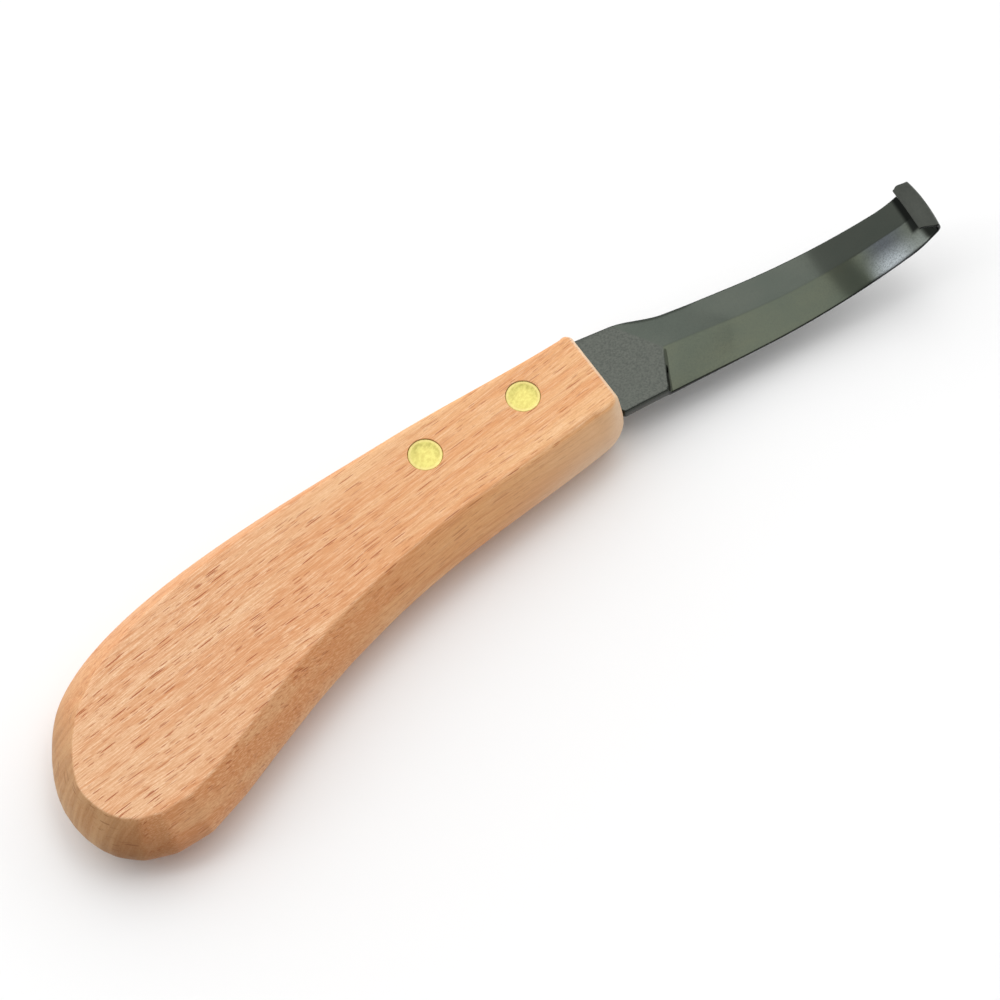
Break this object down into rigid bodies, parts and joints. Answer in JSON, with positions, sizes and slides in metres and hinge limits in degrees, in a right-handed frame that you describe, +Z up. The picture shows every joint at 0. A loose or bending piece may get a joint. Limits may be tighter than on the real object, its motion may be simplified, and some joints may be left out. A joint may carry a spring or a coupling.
{
  "type": "hoof knife",
  "caption": "Hoof knife with a bowed, hook-tipped steel blade and a curved one-piece beech handle with a dropped butt, held by brass rivets.",
  "frame": {"origin": "midway between the two rivets, on the flat underside of the handle", "axes": "+X along the line of the rivets towards the blade, +Y towards the back edge (away from the cutting edge), +Z up, the way the hook curls"},
  "size_m": [0.218, 0.0522, 0.0231],
  "materials": {
    "beech": "sanded beech, lightly oiled",
    "blade_steel": "dark tempered steel, satin",
    "brass": "satin brass, ground flush with the wood"
  },
  "bodies": {
    "root": {"handle": "beech", "blade": "blade_steel", "front_rivet_post": "brass", "front_rivet_sleeve": "brass", "rear_rivet_post": "brass", "rear_rivet_sleeve": "brass"}
  },
  "joints": []
}
